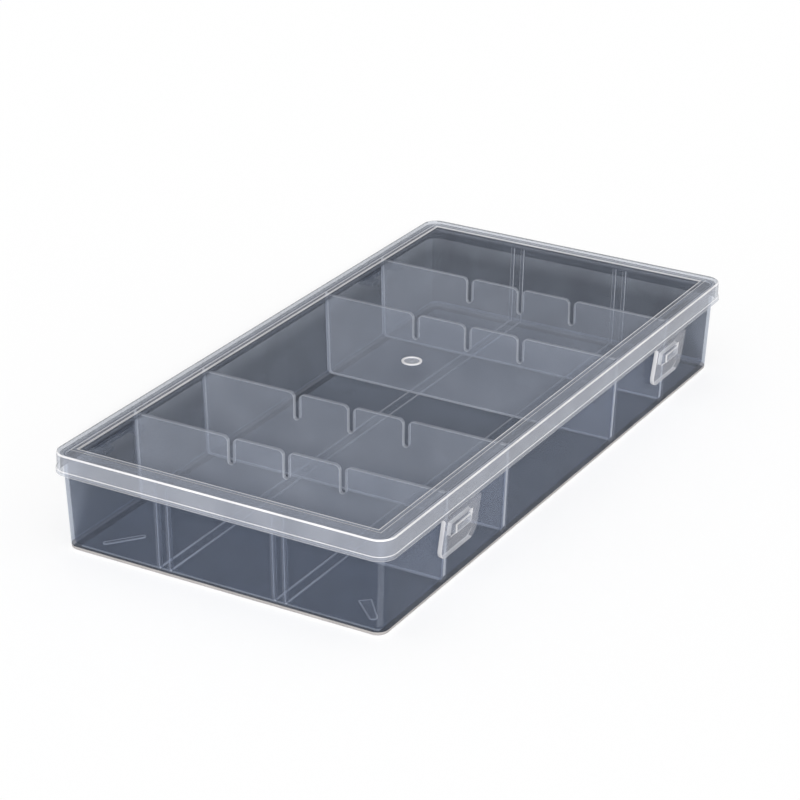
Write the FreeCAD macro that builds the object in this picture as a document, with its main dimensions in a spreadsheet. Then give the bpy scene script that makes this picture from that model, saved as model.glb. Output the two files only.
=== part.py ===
import FreeCAD, Part
import math
import os
import Sketcher

# Clear compartment box: a tapered tray with cross partitions, a hinged lid and two hanging clasps.
# Millimetres. X runs along the box, -Y is the clasp side, +Y the hinge side, Z is up from the resting face.

SIZES = {
    # Lid outline and sheet
    "lid_length": 360.0,
    "lid_width": 179.2,
    "closed_height": 50.0,
    "lid_corner_radius": 8.6,
    "lid_edge_radius": 1.2,
    "lid_sheet": 1.6,
    # Skirt round the lid and the bead along its lower edge
    "skirt_depth": 10.6,
    "skirt_wall": 1.6,
    "bead_height": 2.4,
    "bead_reach": 0.35,
    "bead_radius": 0.3,
    # Raised border round the sunken panel of the lid
    "border_width": 10.0,
    "panel_drop": 1.25,
    # Ring left by the moulding gate at the centre of the lid
    "gate_ring_radius": 5.2,
    "gate_ring_width": 1.3,
    "gate_ring_rise": 0.35,
    # Tray: gaps to the lid, walls and floor
    "lid_gap": 1.3,
    "rim_gap": 0.2,
    "tray_draft": 2.09,
    "tray_wall": 1.7,
    "tray_corner_radius": 5.5,
    "floor_sheet": 1.8,
    "floor_edge_radius": 0.8,
    "floor_inner_radius": 2.0,
    # Pairs of guide ribs on the end walls, with rails on the floor between them
    "guide_offset": 31.0,
    "guide_gap": 3.8,
    "guide_rib_width": 2.1,
    "guide_rib_depth": 1.4,
    "guide_rim_gap": 2.8,
    "rail_width": 1.2,
    "rail_rise": 0.8,
    # Cross partitions and the slim ribs that hold their ends
    "partition_sheet": 2.2,
    "partition_gap": 0.15,
    "partition_lid_gap": 0.2,
    "seat_rib_width": 0.8,
    "seat_rib_depth": 1.0,
    # Notches in the partitions
    "notch_pitch": 30.5,
    "notch_width": 2.8,
    "notch_depth": 14.0,
    "notch_mouth_radius": 3.0,
    # Low moulded marks on the floor of the first compartment, placed by their gaps to its walls
    "mark_rise": 0.4,
    "bar_mark_end_gap": 15.4,
    "bar_mark_side_gap": 19.1,
    "bar_mark_length": 21.0,
    "bar_mark_width": 3.0,
    "bar_mark_turn": -38.0,
    "tongue_mark_end_gap": 14.9,
    "tongue_mark_side_gap": 14.5,
    "tongue_mark_length": 18.0,
    "tongue_mark_width": 5.8,
    "tongue_mark_tip": 3.2,
    "tongue_mark_turn": 223.0,
    # Clasps that hang from the skirt, and the catches that they hook over
    "clasp_end_gap": 67.4,
    "clasp_head_width": 34.4,
    "clasp_foot_width": 34.0,
    "clasp_drop": 20.6,
    "clasp_lean": 7.0,
    "clasp_sheet": 2.2,
    "clasp_corner_radius": 5.0,
    "clasp_edge_radius": 0.4,
    "clasp_proud": 0.8,
    "clasp_gap": 0.3,
    "window_width": 19.0,
    "window_height": 6.4,
    "window_drop": 3.7,
    "catch_gap": 0.9,
    "catch_proud": 0.5,
    "catch_edge_radius": 0.5,
    # Hinges at the back
    "hinge_end_gap": 55.0,
    "hinge_length": 34.0,
    "ear_length": 7.0,
    "knuckle_radius": 2.8,
    "knuckle_gap": 0.3,
    "pin_radius": 1.2,
    "pin_press_gap": 0.01,
    "pin_running_gap": 0.06,
    "pin_chamfer": 0.3,
    "axis_reach": 3.2,
    "axis_drop": 3.4,
    "ear_web": 3.0,
    "lug_web": 2.0,
}

# Shares of the sizes that they follow
SINK_SHARE = 0.5
ROUND_END_SHARE = 0.48
NOTCH_FOOT_SHARE = 0.45

# Equal cells that the tray's length divides into; a partition stands at each division but the middle one
CELLS = 6
DIVISIONS = (-2, -1, 1, 2)

# How close an edge has to lie to a place to be picked there
PICK = 1e-3

doc = FreeCAD.newDocument("compartment_box")
sheet = doc.addObject("Spreadsheet::Sheet", "sizes")
for row, (alias, number) in enumerate(SIZES.items(), start=1):
    sheet.set(f"A{row}", alias)
    sheet.set(f"B{row}", str(number))
    sheet.setAlias(f"B{row}", alias)
doc.recompute()

# Heights and half widths worked out from the sheet, as expressions
SLOPE = "tan(sizes.tray_draft * 1 deg)"
SKIRT_FOOT = "(sizes.closed_height - sizes.skirt_depth)"
BORDER_UNDERSIDE = "(sizes.closed_height - sizes.lid_sheet)"
PANEL_TOP = "(sizes.closed_height - sizes.panel_drop)"
PANEL_UNDERSIDE = f"({PANEL_TOP} - sizes.lid_sheet)"
RIM = f"({BORDER_UNDERSIDE} - sizes.rim_gap)"
RIM_INSET = "(sizes.skirt_wall + sizes.lid_gap)"
GUIDE_TOP = f"({RIM} - sizes.guide_rim_gap)"
PARTITION_TOP = f"({PANEL_UNDERSIDE} - sizes.partition_lid_gap)"
CELL = f"((sizes.lid_length - 2 * {RIM_INSET} - {RIM} * {SLOPE}) / {CELLS})"
CLASP_X = "(sizes.lid_length / 2 - sizes.clasp_end_gap)"
HINGE_X = "(sizes.lid_length / 2 - sizes.hinge_end_gap)"
FLOOR_SINK = f"(sizes.floor_sheet * {SINK_SHARE})"
WALL_SINK = f"(sizes.tray_wall * {SINK_SHARE})"
RIB_OFFSET = "((sizes.guide_gap + sizes.guide_rib_width) / 2)"
CLASP_Y = "(-sizes.lid_width / 2 - sizes.bead_reach - sizes.clasp_proud + sizes.clasp_sheet / 2)"
CLASP_Z = f"({SKIRT_FOOT} - sizes.clasp_gap - sizes.clasp_sheet / 2)"
CATCH_TOP = f"({CLASP_Z} - sizes.window_drop - sizes.catch_gap)"
CATCH_FOOT = f"({CLASP_Z} - sizes.window_drop - sizes.window_height + sizes.catch_gap)"
CATCH_FACE = "(sizes.lid_width / 2 + sizes.bead_reach + sizes.clasp_proud + sizes.catch_proud)"
AXIS_Y = "(sizes.lid_width / 2 + sizes.axis_reach)"
AXIS_Z = f"({SKIRT_FOOT} - sizes.axis_drop)"


def size(name):
    """Number that the sheet holds under a name."""
    return float(sheet.get(name))


def outer(span, height):
    """Expression for half the tray's outer length or width at a height."""
    return f"(sizes.{span} / 2 - {RIM_INSET} - ({RIM} - {height}) * {SLOPE})"


def inner(span, height):
    """Expression for half the tray's inner length or width at a height."""
    return f"({outer(span, height)} - sizes.tray_wall)"


def rectangle(half_x, half_y):
    """Corners of a rectangle round the origin."""
    return [(f"-{half_x}", f"-{half_y}"), (half_x, f"-{half_y}"), (half_x, half_y), (f"-{half_x}", half_y)]


def span_box(low_x, low_y, high_x, high_y):
    """Corners of a rectangle between two corners."""
    return [(low_x, low_y), (high_x, low_y), (high_x, high_y), (low_x, high_y)]


def new_body(label):
    """Empty body whose name and label are the sub-part's."""
    body = doc.addObject("PartDesign::Body", label)
    body.Label = label
    return body


def new_sketch(body, name, plane, offset):
    """Sketch on one of the body's own origin planes, moved along the plane's normal."""
    sketch = body.newObject("Sketcher::SketchObject", name)
    support = next(item for item in body.Origin.OriginFeatures if item.Role == plane)
    sketch.AttachmentSupport = (support, [""])
    sketch.MapMode = "FlatFace"
    sketch.setExpression("AttachmentOffset.Base.z", offset)
    return sketch


def bind(sketch, constraint, expression):
    """Adds a constraint whose value follows the sheet."""
    index = sketch.addConstraint(constraint)
    sketch.setExpression(f"Constraints[{index}]", expression)


def outlines(body, name, plane, loops, offset="0"):
    """Sketch of closed outlines, each a list of corners given as pairs of expressions."""
    sketch = new_sketch(body, name, plane, offset)
    for loop in loops:
        first, count = sketch.GeometryCount, len(loop)
        turns = [2 * math.pi * place / count for place in range(count)]
        corners = [FreeCAD.Vector(math.cos(turn), math.sin(turn), 0) for turn in turns]
        for place in range(count):
            sketch.addGeometry(Part.LineSegment(corners[place], corners[(place + 1) % count]))
        for place in range(count):
            following = first + (place + 1) % count
            sketch.addConstraint(Sketcher.Constraint("Coincident", first + place, 2, following, 1))
        for place, (across, up) in enumerate(loop):
            corner, edge = corners[place], first + place
            bind(sketch, Sketcher.Constraint("DistanceX", -1, 1, edge, 1, corner.x), across)
            bind(sketch, Sketcher.Constraint("DistanceY", -1, 1, edge, 1, corner.y), up)
    return sketch


def rounded(body, name, half_x, half_y, radius, offset):
    """Sketch of a rectangle with round corners, level with the floor and round the upright axis."""
    sketch = new_sketch(body, name, "XY_Plane", offset)
    arm_x, arm_y = f"({half_x} - {radius})", f"({half_y} - {radius})"
    quarter = math.pi / 2
    quarters = ((1, 1), (-1, 1), (-1, -1), (1, -1))
    for place, (east, north) in enumerate(quarters):
        circle = Part.Circle(FreeCAD.Vector(east, north, 0), FreeCAD.Vector(0, 0, 1), 1)
        sketch.addGeometry(Part.ArcOfCircle(circle, place * quarter, (place + 1) * quarter))
    for place in range(len(quarters)):
        following = (place + 1) % len(quarters)
        line = Part.LineSegment(sketch.getPoint(place, 2), sketch.getPoint(following, 1))
        side = sketch.addGeometry(line)
        sketch.addConstraint(Sketcher.Constraint("Coincident", place, 2, side, 1))
        sketch.addConstraint(Sketcher.Constraint("Coincident", side, 2, following, 1))
    for place, (east, north) in enumerate(quarters):
        level_end, upright_end = (1, 2) if east == north else (2, 1)
        for end, across, up in ((level_end, half_x, arm_y), (upright_end, arm_x, half_y)):
            point = sketch.getPoint(place, end)
            bind(sketch, Sketcher.Constraint("DistanceX", -1, 1, place, end, point.x), f"{east} * {across}")
            bind(sketch, Sketcher.Constraint("DistanceY", -1, 1, place, end, point.y), f"{north} * {up}")
        bind(sketch, Sketcher.Constraint("DistanceX", -1, 1, place, 3, east), f"{east} * {arm_x}")
    return sketch


def circles(body, name, plane, across, up, radii, offset="0"):
    """Sketch of circles round one centre."""
    sketch = new_sketch(body, name, plane, offset)
    for place, radius in enumerate(radii):
        start = FreeCAD.Vector(1, 1, 0)
        sketch.addGeometry(Part.Circle(start, FreeCAD.Vector(0, 0, 1), place + 1))
        bind(sketch, Sketcher.Constraint("DistanceX", -1, 1, place, 3, start.x), across)
        bind(sketch, Sketcher.Constraint("DistanceY", -1, 1, place, 3, start.y), up)
        bind(sketch, Sketcher.Constraint("Radius", place, place + 1), radius)
    return sketch


def extrude(body, kind, sketch, name, length, side="One side", reverse=False, taper="0"):
    """Pad or pocket of a sketch, with its length and taper from the sheet."""
    feature = body.newObject(f"PartDesign::{kind}", name)
    feature.Profile = sketch
    feature.SideType = side
    feature.Reversed = reverse
    feature.setExpression("Length", length)
    feature.setExpression("TaperAngle", taper)
    body.Tip = feature
    doc.recompute()
    return feature


def pad(body, sketch, name, length, **options):
    """Adds material over a sketch."""
    return extrude(body, "Pad", sketch, name, length, **options)


def pocket(body, sketch, name, length, **options):
    """Cuts material under a sketch, and checks that something was cut."""
    before = body.Tip.Shape.Volume
    feature = extrude(body, "Pocket", sketch, name, length, **options)
    if feature.Shape.Volume >= before:
        raise RuntimeError(f"{body.Label}: {name} cuts nothing")
    return feature


def soften(body, name, radius, chosen, kind="Fillet", value="Radius"):
    """Rounds, or chamfers, the edges that a test chooses."""
    base = body.Tip
    picked = [f"Edge{place}" for place, edge in enumerate(base.Shape.Edges, start=1) if chosen(edge)]
    if not picked:
        raise RuntimeError(f"{body.Label}: {name} finds no edge")
    feature = body.newObject(f"PartDesign::{kind}", name)
    feature.Base = (base, picked)
    feature.setExpression(value, radius)
    body.Tip = feature
    doc.recompute()
    return feature


def ends(shape):
    """Lowest and highest corner of a shape's box."""
    box = shape.BoundBox
    return FreeCAD.Vector(box.XMin, box.YMin, box.ZMin), FreeCAD.Vector(box.XMax, box.YMax, box.ZMax)


def level(edge, height):
    """Whether an edge lies at one height."""
    low, high = ends(edge)
    return abs(low.z - height) < PICK and abs(high.z - height) < PICK


def upright(edge, foot, top):
    """Whether an edge climbs from one height to another."""
    low, high = ends(edge)
    return abs(low.z - foot) < PICK and abs(high.z - top) < PICK


def reach(body):
    """Lowest and highest corner of the box round what a body holds so far."""
    return ends(body.Tip.Shape)


def knuckle(body, name, centre, length, wall_y, foot, top):
    """Hinge barrel on the axis, with the web that carries it back to a wall."""
    ring = circles(body, f"{name}_ring", "YZ_Plane", AXIS_Y, AXIS_Z, ["sizes.knuckle_radius"], centre)
    pad(body, ring, f"{name}_barrel", length, side="Symmetric")
    arm = outlines(body, f"{name}_arm", "YZ_Plane", [span_box(wall_y, foot, AXIS_Y, top)], centre)
    pad(body, arm, f"{name}_web", length, side="Symmetric")


def bore(body, name, gap):
    """Bore for the hinge pins, right along the axis."""
    hole = circles(body, f"{name}_circle", "YZ_Plane", AXIS_Y, AXIS_Z, [f"sizes.pin_radius + sizes.{gap}"])
    pocket(body, hole, name, "sizes.lid_length", side="Symmetric")


def build_tray():
    """Tray: floor and tapered walls with ribs, rails, catches and hinge ears in one moulding."""
    body = new_body("tray")
    block = outlines(body, "rim_outline", "XY_Plane",
                     [rectangle(outer("lid_length", RIM), outer("lid_width", RIM))], RIM)
    pad(body, block, "block", RIM, reverse=True, taper="-sizes.tray_draft")
    rim, floor = reach(body)[1].z, size("floor_sheet")
    hollow = outlines(body, "cavity_outline", "XY_Plane",
                      [rectangle(inner("lid_length", RIM), inner("lid_width", RIM))], RIM)
    pocket(body, hollow, "cavity", f"{RIM} - sizes.floor_sheet", taper="-sizes.tray_draft")
    soften(body, "corners", "sizes.tray_corner_radius", lambda edge: upright(edge, 0, rim))
    soften(body, "cavity_corners", "sizes.tray_corner_radius - sizes.tray_wall",
           lambda edge: upright(edge, floor, rim))
    soften(body, "floor_edge", "sizes.floor_edge_radius", lambda edge: level(edge, 0))
    soften(body, "cavity_floor", "sizes.floor_inner_radius", lambda edge: level(edge, floor))
    add_ears(body)
    add_catches(body)
    add_marks(body)
    add_guides(body)
    add_seats(body)
    add_rails(body)
    return body


def guide_places():
    """Expressions for the Y of each guide rib."""
    return [f"({side} * sizes.guide_offset {sign} {RIB_OFFSET})" for side in (1, -1) for sign in "+-"]


def add_guides(body):
    """Rib pairs on both end walls."""
    foot, top = FLOOR_SINK, GUIDE_TOP
    for count, place in enumerate(guide_places(), start=1):
        loops = []
        for end in ("-", ""):
            walls = [inner("lid_length", height) for height in (foot, top)]
            sunk = [f"{end}({wall} + {WALL_SINK})" for wall in walls]
            face = [f"{end}({wall} - sizes.guide_rib_depth)" for wall in walls]
            loops.append([(sunk[0], foot), (face[0], foot), (face[1], top), (sunk[1], top)])
        ribs = outlines(body, f"guide_{count}_outline", "XZ_Plane", loops, f"-{place}")
        pad(body, ribs, f"guide_{count}", "sizes.guide_rib_width", side="Symmetric")


def add_rails(body):
    """Floor rails from end to end in line with the guide ribs, broken where the partitions stand."""
    stop, half = f"({inner('lid_length', 'sizes.floor_sheet')} + {WALL_SINK})", "sizes.rail_width / 2"
    loops = [span_box(f"-{stop}", f"{place} - {half}", stop, f"{place} + {half}")
             for place in guide_places()]
    rails = outlines(body, "rail_outline", "XY_Plane", loops, FLOOR_SINK)
    pad(body, rails, "rails", f"sizes.floor_sheet - {FLOOR_SINK} + sizes.rail_rise")
    half_x = "(sizes.partition_sheet / 2 + sizes.partition_gap)"
    half_y = f"(sizes.guide_offset + {RIB_OFFSET} + sizes.rail_width)"
    loops = [span_box(f"{centre} - {half_x}", f"-{half_y}", f"{centre} + {half_x}", half_y)
             for centre in partition_places()]
    breaks = outlines(body, "rail_break_outline", "XY_Plane", loops, "sizes.floor_sheet + sizes.rail_rise")
    pocket(body, breaks, "rail_breaks", "sizes.rail_rise")


def partition_places():
    """Expressions for the X of each cross partition, from the -X end."""
    return [f"({step} * {CELL})" for step in DIVISIONS]


def add_seats(body):
    """Slim ribs on the long walls, either side of each partition's ends."""
    foot, top = FLOOR_SINK, PARTITION_TOP
    shift = "(sizes.partition_sheet / 2 + sizes.partition_gap + sizes.seat_rib_width / 2)"
    places = [f"({centre} {sign} {shift})" for centre in partition_places() for sign in "-+"]
    for count, place in enumerate(places, start=1):
        loops = []
        for side in ("-", ""):
            walls = [inner("lid_width", height) for height in (foot, top)]
            sunk = [f"{side}({wall} + {WALL_SINK})" for wall in walls]
            face = [f"{side}({wall} - sizes.seat_rib_depth)" for wall in walls]
            loops.append([(sunk[0], foot), (face[0], foot), (face[1], top), (sunk[1], top)])
        ribs = outlines(body, f"seat_{count}_outline", "YZ_Plane", loops, place)
        pad(body, ribs, f"seat_{count}", "sizes.seat_rib_width", side="Symmetric")


def turned(name, side, along, across):
    """Corner of a floor mark, from its own axes to the tray's."""
    cosine, sine = (f"{wave}(sizes.{name}_turn * 1 deg)" for wave in ("cos", "sin"))
    centre_x = f"(sizes.{name}_end_gap - {inner('lid_length', 'sizes.floor_sheet')})"
    centre_y = f"{side} * ({inner('lid_width', 'sizes.floor_sheet')} - sizes.{name}_side_gap)"
    return (f"{centre_x} + ({along}) * {cosine} - ({across}) * {sine}",
            f"{centre_y} + ({along}) * {sine} + ({across}) * {cosine}")


def add_marks(body):
    """Two low marks on the floor: a bar with round ends, and a tongue that narrows to its tip."""
    floor, top = size("floor_sheet"), size("floor_sheet") + size("mark_rise")
    marks = {"bar_mark": (1, "bar_mark_width", "bar_mark_width"),
             "tongue_mark": (-1, "tongue_mark_width", "tongue_mark_tip")}
    for name, (side, root, tip) in marks.items():
        half, broad, narrow = (f"sizes.{length} / 2" for length in (f"{name}_length", root, tip))
        corners = [(f"-{half}", f"-{broad}"), (half, f"-{narrow}"), (half, narrow), (f"-{half}", broad)]
        loop = [turned(name, side, *corner) for corner in corners]
        mark = outlines(body, f"{name}_outline", "XY_Plane", [loop], FLOOR_SINK)
        pad(body, mark, name, f"sizes.floor_sheet - {FLOOR_SINK} + sizes.mark_rise")
        soften(body, f"{name}_ends", f"sizes.{tip} * {ROUND_END_SHARE}",
               lambda edge: upright(edge, floor, top) and edge.BoundBox.YMax * side > 0)


def add_catches(body):
    """Catches on the clasp side, which stand out through the clasps' windows."""
    half = "(sizes.window_width / 2 - sizes.catch_gap)"
    centres = [f"({side} * {CLASP_X})" for side in (-1, 1)]
    loops = [span_box(f"{centre} - {half}", CATCH_FOOT, f"{centre} + {half}", CATCH_TOP)
             for centre in centres]
    root = f"({outer('lid_width', CATCH_FOOT)} - {WALL_SINK})"
    blocks = outlines(body, "catch_outline", "XZ_Plane", loops, root)
    pad(body, blocks, "catches", f"{CATCH_FACE} - {root}")
    face = reach(body)[0].y
    soften(body, "catch_edges", "sizes.catch_edge_radius",
           lambda edge: max(abs(corner.y - face) for corner in ends(edge)) < PICK)


def add_ears(body):
    """Two hinge ears at each hinge, at the ends of its barrel."""
    shift = "(sizes.hinge_length / 2 - sizes.ear_length / 2)"
    foot, top = f"({AXIS_Z} - sizes.knuckle_radius)", f"({AXIS_Z} - sizes.knuckle_radius + sizes.ear_web)"
    wall = f"({outer('lid_width', foot)} - {WALL_SINK})"
    places = [f"({side} * {HINGE_X} {sign} {shift})" for side in (-1, 1) for sign in "-+"]
    for count, place in enumerate(places, start=1):
        knuckle(body, f"ear_{count}", place, "sizes.ear_length", wall, foot, top)
    bore(body, "ear_bore", "pin_press_gap")


def build_lid():
    """Lid: bordered sheet with a sunken panel, a skirt with a bead, and a hinge lug at each hinge."""
    body = new_body("lid")
    half_x, half_y, radius = "(sizes.lid_length / 2)", "(sizes.lid_width / 2)", "sizes.lid_corner_radius"
    block = rounded(body, "lid_outline", half_x, half_y, radius, SKIRT_FOOT)
    pad(body, block, "block", "sizes.skirt_depth")
    foot, top = (corner.z for corner in reach(body))
    bead_top = foot + size("bead_height")
    soften(body, "top_edge", "sizes.lid_edge_radius", lambda edge: level(edge, top))
    around = [f"({length} + sizes.bead_reach)" for length in (half_x, half_y, radius)]
    pad(body, rounded(body, "bead_outline", *around, SKIRT_FOOT), "bead", "sizes.bead_height")
    limit = FreeCAD.Vector(size("lid_length") / 2, size("lid_width") / 2, 0)
    limit += FreeCAD.Vector(size("bead_reach"), size("bead_reach"), 0)
    soften(body, "bead_edge", "sizes.bead_radius",
           lambda edge: (level(edge, foot) or level(edge, bead_top)) and outermost(edge, limit))
    inside = [f"({length} - sizes.skirt_wall)" for length in (half_x, half_y, radius)]
    hollow = rounded(body, "hollow_outline", *inside, SKIRT_FOOT)
    pocket(body, hollow, "hollow", "sizes.skirt_depth - sizes.lid_sheet", reverse=True)
    add_panel(body, half_x, half_y)
    add_lugs(body)
    return body


def outermost(edge, limit):
    """Whether an edge reaches the outer face of the bead, along a side or round a corner."""
    low, high = ends(edge)
    return max(high.x, -low.x) > limit.x - PICK or max(high.y, -low.y) > limit.y - PICK


def add_panel(body, half_x, half_y):
    """Sunken panel inside the border, and the gate ring at its centre."""
    under = [f"({half} - sizes.border_width + sizes.lid_sheet)" for half in (half_x, half_y)]
    sheet_outline = outlines(body, "panel_outline", "XY_Plane", [rectangle(*under)], PANEL_UNDERSIDE)
    pad(body, sheet_outline, "panel", f"sizes.panel_drop + sizes.lid_sheet * {SINK_SHARE}")
    sunk = [f"({half} - sizes.border_width)" for half in (half_x, half_y)]
    recess = outlines(body, "recess_outline", "XY_Plane", [rectangle(*sunk)], "sizes.closed_height")
    pocket(body, recess, "recess", "sizes.panel_drop")
    radii = ["sizes.gate_ring_radius", "sizes.gate_ring_radius - sizes.gate_ring_width"]
    ring = circles(body, "gate_outline", "XY_Plane", "0", "0", radii,
                   f"({PANEL_TOP} - sizes.lid_sheet * {SINK_SHARE})")
    pad(body, ring, "gate_ring", f"sizes.lid_sheet * {SINK_SHARE} + sizes.gate_ring_rise")


def add_lugs(body):
    """One lug at each hinge, between the tray's ears."""
    length = "(sizes.hinge_length - 2 * sizes.ear_length - 2 * sizes.knuckle_gap)"
    inside = "(sizes.lid_width / 2 - sizes.skirt_wall)"
    for count, side in enumerate((-1, 1), start=1):
        centre = f"({side} * {HINGE_X})"
        ring = circles(body, f"lug_{count}_ring", "YZ_Plane", AXIS_Y, AXIS_Z, ["sizes.knuckle_radius"],
                       centre)
        pad(body, ring, f"lug_{count}_barrel", length, side="Symmetric")
        corners = [(inside, f"({SKIRT_FOOT} + sizes.bead_height * {SINK_SHARE})"), (inside, AXIS_Z),
                   (AXIS_Y, f"({AXIS_Z} - sizes.pin_radius)"), (AXIS_Y, f"({AXIS_Z} + sizes.lug_web)"),
                   ("(sizes.lid_width / 2)", f"({SKIRT_FOOT} + sizes.bead_height * {SINK_SHARE})")]
        arm = outlines(body, f"lug_{count}_arm", "YZ_Plane", [corners], centre)
        pad(body, arm, f"lug_{count}_web", length, side="Symmetric")
    bore(body, "lug_bore", "pin_running_gap")


def build_partition(label, centre):
    """Cross partition: a notched sheet whose ends follow the tray's tapered walls."""
    body = new_body(label)
    foot, top = "(sizes.floor_sheet + sizes.partition_gap)", PARTITION_TOP
    half = [f"({inner('lid_width', height)} - sizes.partition_gap)" for height in (foot, top)]
    throat = f"({PARTITION_TOP} - sizes.notch_depth)"
    corners = [(f"-{half[0]}", foot), (half[0], foot), (half[1], top)]
    for place in (1, 0, -1):
        near_side = f"({place} * sizes.notch_pitch + sizes.notch_width / 2)"
        far_side = f"({place} * sizes.notch_pitch - sizes.notch_width / 2)"
        corners += [(near_side, top), (near_side, throat), (far_side, throat), (far_side, top)]
    corners.append((f"-{half[1]}", top))
    plate = outlines(body, "plate_outline", "YZ_Plane", [corners])
    pad(body, plate, "plate", "sizes.partition_sheet", side="Symmetric")
    low, high = (corner.z for corner in reach(body))
    deep = high - size("notch_depth")
    mouth = size("notch_pitch") + size("notch_width")
    soften(body, "foot_corners", "sizes.floor_inner_radius",
           lambda edge: across(edge) and level(edge, low))
    soften(body, "notch_mouths", "sizes.notch_mouth_radius",
           lambda edge: across(edge) and level(edge, high) and abs(edge.BoundBox.Center.y) < mouth)
    soften(body, "notch_feet", f"sizes.notch_width * {NOTCH_FOOT_SHARE}",
           lambda edge: across(edge) and level(edge, deep))
    body.setExpression("Placement.Base.x", centre)
    return body


def across(edge):
    """Whether an edge runs straight through a sheet that stands across X."""
    low, high = ends(edge)
    return high.x - low.x > PICK and high.y - low.y < PICK and high.z - low.z < PICK


def build_clasp(label, side):
    """Clasp: a flap that leans in to the tray, with a round hinge head and a window over the catch."""
    body = new_body(label)
    head, foot, drop = "sizes.clasp_head_width / 2", "sizes.clasp_foot_width / 2", "sizes.clasp_drop"
    flap = [(f"-{head}", "0"), (f"-{foot}", f"-{drop}"), (foot, f"-{drop}"), (head, "0")]
    half = "sizes.window_width / 2"
    window = span_box(f"-{half}", "-(sizes.window_drop + sizes.window_height)", half, "-sizes.window_drop")
    plate = outlines(body, "flap_outline", "XZ_Plane", [flap, window])
    pad(body, plate, "flap", "sizes.clasp_sheet", side="Symmetric")
    low = -size("clasp_drop")
    soften(body, "foot_corners", "sizes.clasp_corner_radius",
           lambda edge: level(edge, low) and edge.BoundBox.YLength > PICK)
    face = size("clasp_sheet") / 2
    soften(body, "rim", "sizes.clasp_edge_radius", lambda edge: on_face(edge, face) and not level(edge, 0))
    roll = circles(body, "head_circle", "YZ_Plane", "0", "0", ["sizes.clasp_sheet / 2"])
    pad(body, roll, "head", "sizes.clasp_head_width", side="Symmetric")
    body.Placement.Rotation = FreeCAD.Rotation(FreeCAD.Vector(1, 0, 0), size("clasp_lean"))
    body.setExpression("Placement.Rotation.Angle", "sizes.clasp_lean * 1 deg")
    body.setExpression("Placement.Base.x", f"{side} * {CLASP_X}")
    body.setExpression("Placement.Base.y", CLASP_Y)
    body.setExpression("Placement.Base.z", CLASP_Z)
    return body


def on_face(edge, face):
    """Whether an edge lies on the clasp's outer or inner face."""
    low, high = ends(edge)
    return abs(abs(low.y) - face) < PICK and abs(low.y - high.y) < PICK


def build_pin(label, side):
    """Hinge pin with chamfered ends."""
    body = new_body(label)
    section = circles(body, "section", "YZ_Plane", "0", "0", ["sizes.pin_radius"])
    pad(body, section, "shank", "sizes.hinge_length", side="Symmetric")
    end = size("hinge_length") / 2
    soften(body, "tips", "sizes.pin_chamfer", lambda edge: abs(abs(edge.BoundBox.Center.x) - end) < PICK,
           kind="Chamfer", value="Size")
    body.setExpression("Placement.Base.x", f"{side} * {HINGE_X}")
    body.setExpression("Placement.Base.y", AXIS_Y)
    body.setExpression("Placement.Base.z", AXIS_Z)
    return body


def check(bodies):
    """Stops on a failed object or a sub-part that isn't one valid solid."""
    for item in doc.Objects:
        if {"Invalid", "Error"} & set(item.State):
            raise RuntimeError(f"{item.Label} failed: {item.State}")
    for body in bodies:
        shape = body.Shape
        if shape.isNull() or not shape.isValid() or len(shape.Solids) != 1:
            raise RuntimeError(f"{body.Label} is not one valid solid")


bodies = [build_tray(), build_lid()]
for count, centre in enumerate(partition_places(), start=1):
    bodies.append(build_partition(f"cross_partition_{count}", centre))
for hand, side in (("left", -1), ("right", 1)):
    bodies.append(build_clasp(f"clasp_{hand}", side))
    bodies.append(build_pin(f"hinge_pin_{hand}", side))
doc.recompute()
check(bodies)
os.makedirs("parts", exist_ok=True)
for body in bodies:
    body.Shape.exportStep(f"parts/{body.Label}.step")
    box = body.Shape.BoundBox
    print(f"{body.Label}: {body.Shape.Volume:.0f} mm3, "
          f"x {box.XMin:.2f} to {box.XMax:.2f}, y {box.YMin:.2f} to {box.YMax:.2f}, "
          f"z {box.ZMin:.2f} to {box.ZMax:.2f}")
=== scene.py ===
"""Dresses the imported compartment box: smoky clear mouldings on a pale floor, at the photograph's angle."""

import logging
import math
from collections.abc import Callable
from dataclasses import dataclass
from enum import Enum

import bmesh
import bpy
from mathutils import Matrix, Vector


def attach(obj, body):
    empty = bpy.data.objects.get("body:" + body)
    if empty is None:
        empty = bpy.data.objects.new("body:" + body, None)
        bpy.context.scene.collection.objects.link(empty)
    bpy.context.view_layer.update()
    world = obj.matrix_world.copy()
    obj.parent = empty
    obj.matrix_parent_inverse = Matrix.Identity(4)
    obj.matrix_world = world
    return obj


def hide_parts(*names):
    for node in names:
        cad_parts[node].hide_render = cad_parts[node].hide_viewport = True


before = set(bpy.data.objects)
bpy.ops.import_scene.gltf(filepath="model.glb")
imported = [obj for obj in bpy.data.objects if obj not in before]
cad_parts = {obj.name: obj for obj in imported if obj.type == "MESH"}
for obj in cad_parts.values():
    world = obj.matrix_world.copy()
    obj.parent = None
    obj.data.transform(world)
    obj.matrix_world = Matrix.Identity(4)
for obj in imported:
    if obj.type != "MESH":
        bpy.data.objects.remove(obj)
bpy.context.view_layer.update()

LOG = logging.getLogger("compartment_box")
Point = tuple[float, float, float]
Span = tuple[float, float]
Piece = bpy.types.Object

MM = 0.001
TINY = 0.01
SIDES = (-1, 1)
HANDS = ("left", "right")
X_AXIS, Y_AXIS, Z_AXIS = (1, 0, 0), (0, 1, 0), (0, 0, 1)
# Turns in degrees that make a flat sheet or a rod face along an axis
FACE_X, FACE_Y = (0, 90, 0), (90, 0, 0)
# How much of a face's normal lies along an axis
FAINT, LITTLE, SOME, HALF, MOST, ALL = 0.1, 0.2, 0.3, 0.5, 0.9, 0.98
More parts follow.
